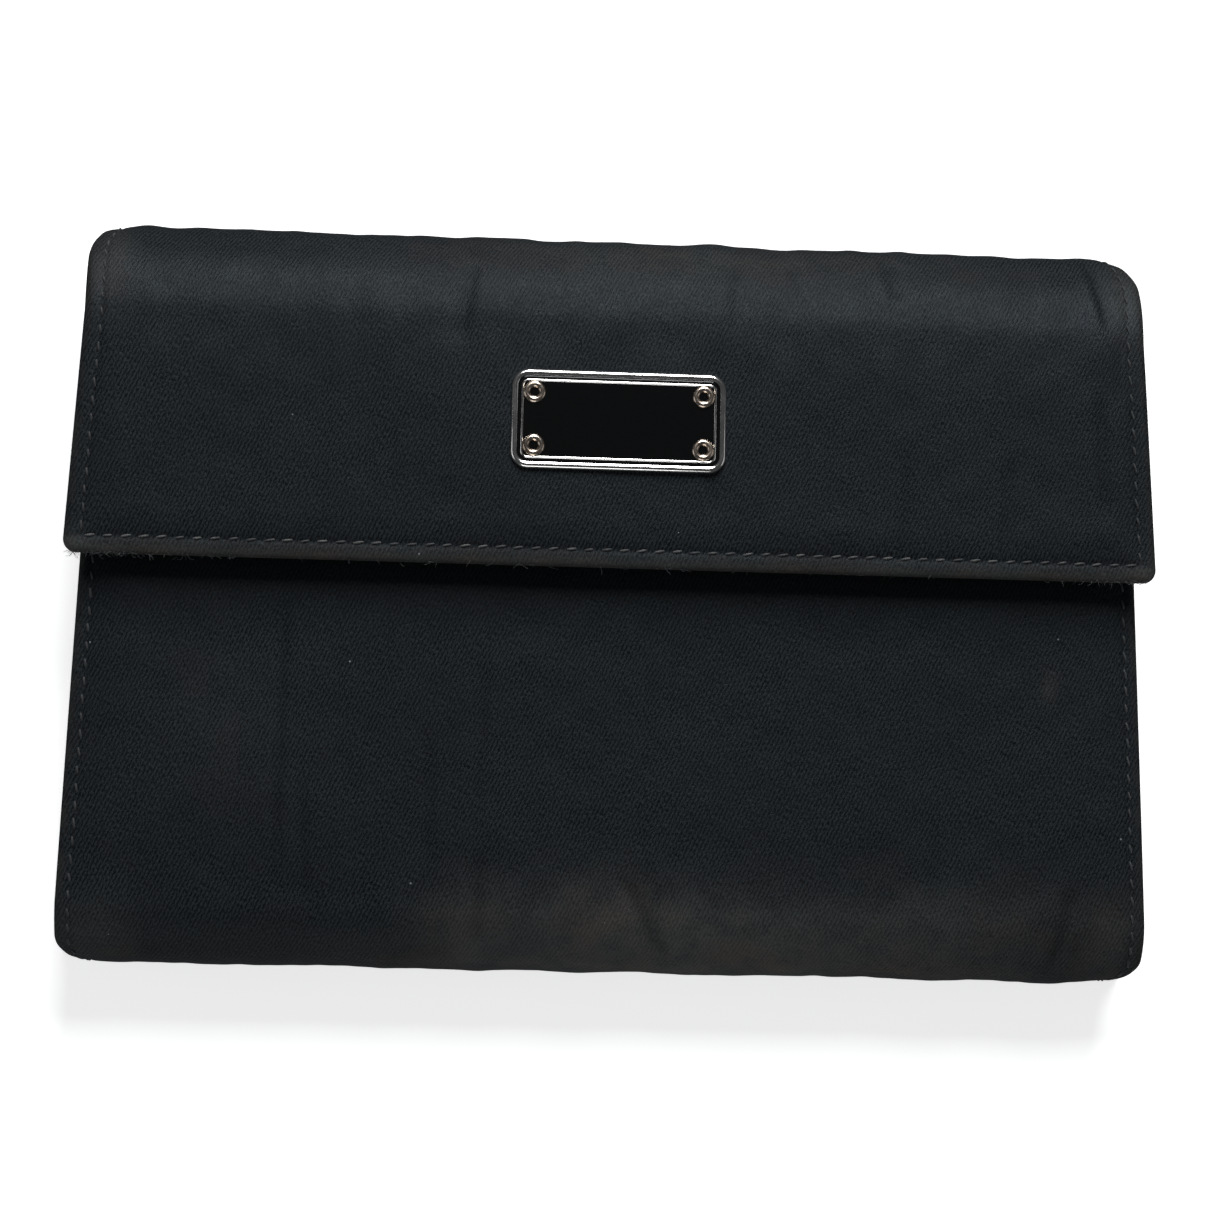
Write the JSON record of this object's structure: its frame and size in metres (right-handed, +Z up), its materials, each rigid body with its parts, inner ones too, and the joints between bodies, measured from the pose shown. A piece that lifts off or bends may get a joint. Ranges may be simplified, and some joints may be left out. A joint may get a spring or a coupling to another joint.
{
  "type": "trifold wallet",
  "caption": "Folding fabric wallet with a snap-down flap, card pockets, note compartment and zipped coin pocket.",
  "frame": {"origin": "on the underside, below the middle of the closed wallet's box", "axes": "+X along the width to the right, +Y from the bottom fold to the top fold, +Z up through the layers to the flap's face"},
  "size_m": [0.1412, 0.0954, 0.0211],
  "materials": {
    "nylon_cover": "black nylon twill with a satin sheen",
    "lining": "fine black plain weave",
    "leather": "black fine grain, semi-matt",
    "stiffener": "grey fibre board",
    "plate_metal": "polished silver-coloured plating",
    "enamel": "glossy black enamel",
    "snap_metal": "nickel plated",
    "zip_tape": "black herringbone tape",
    "zip_coil": "black nylon coil",
    "zip_metal": "nickel plated",
    "clear_film": "clear soft film"
  },
  "bodies": {
    "back": {"back_cover": "nylon_cover", "back_board": "stiffener", "back_lining": "lining", "left_edge_binding": "leather", "right_edge_binding": "leather", "bottom_edge_binding": "leather", "note_divider": "lining", "card_panel": "lining", "card_pocket_1": "leather", "card_pocket_2": "leather", "card_pocket_3": "leather", "card_pocket_4": "leather", "photo_pocket": "leather", "photo_window": "clear_film"},
    "top_spine": {"top_spine_cover": "nylon_cover", "top_spine_lining": "lining"},
    "flap": {"flap_cover": "nylon_cover", "flap_board": "stiffener", "flap_lining": "lining", "plaque_plate": "plate_metal", "plaque_enamel": "enamel", "plaque_rivets": "plate_metal", "plaque_backing": "plate_metal", "snap_socket": "snap_metal", "snap_socket_cap": "snap_metal", "snap_spring": "snap_metal"},
    "bottom_spine": {"bottom_spine_cover": "nylon_cover", "bottom_spine_lining": "lining"},
    "front": {"front_cover": "nylon_cover", "front_board": "stiffener", "front_lining": "lining", "front_tuck_cover": "nylon_cover", "front_tuck_lining": "lining", "snap_stud": "snap_metal", "snap_stud_cap": "snap_metal", "coin_gusset_left": "leather", "coin_gusset_right": "leather", "coin_gusset_bottom": "leather", "coin_gusset_top": "leather", "coin_pocket_wall": "leather", "coin_pocket_band": "leather", "zip_tape_lower": "zip_tape", "zip_tape_upper": "zip_tape", "zip_coil_lower": "zip_coil", "zip_coil_upper": "zip_coil", "zip_top_stops": "zip_metal", "zip_bottom_stop": "zip_metal"},
    "zip_slider": {"zip_slider": "zip_metal"},
    "zip_pull": {"zip_pull": "zip_metal"}
  },
  "joints": [
    {"name": "bottom_spine_fold", "type": "hinge", "parent": "back", "child": "bottom_spine", "pos_m": [0, -0.04475, 0.003], "axis": [1, 0, 0], "range_deg": [0, 90], "deforming": ["bottom_spine_cover"]},
    {"name": "front_fold", "type": "hinge", "parent": "bottom_spine", "child": "front", "pos_m": [0, -0.04175, 0.0096], "axis": [1, 0, 0], "range_deg": [0, 90], "deforming": ["front_tuck_cover", "front_tuck_lining", "snap_stud", "snap_stud_cap"]},
    {"name": "top_spine_fold", "type": "hinge", "parent": "back", "child": "top_spine", "pos_m": [0, 0.04475, 0.003], "axis": [-1, 0, 0], "range_deg": [0, 90], "deforming": ["top_spine_cover"]},
    {"name": "flap_fold", "type": "hinge", "parent": "top_spine", "child": "flap", "pos_m": [0, 0.04175, 0.014], "axis": [-1, 0, 0], "range_deg": [0, 90]},
    {"name": "zip_slide", "type": "slide", "parent": "front", "child": "zip_slider", "axis": [-1, 0, 0], "range_m": [0, 0.108]},
    {"name": "zip_pull_swivel", "type": "hinge", "parent": "zip_slider", "child": "zip_pull", "pos_m": [0.053, -0.02375, 0.00745], "axis": [0, 0, 1], "range_deg": [-30, 30]}
  ],
  "couplings": [
    {"joint": "front_fold", "follows": "bottom_spine_fold", "ratio": 1},
    {"joint": "flap_fold", "follows": "top_spine_fold", "ratio": 1}
  ]
}
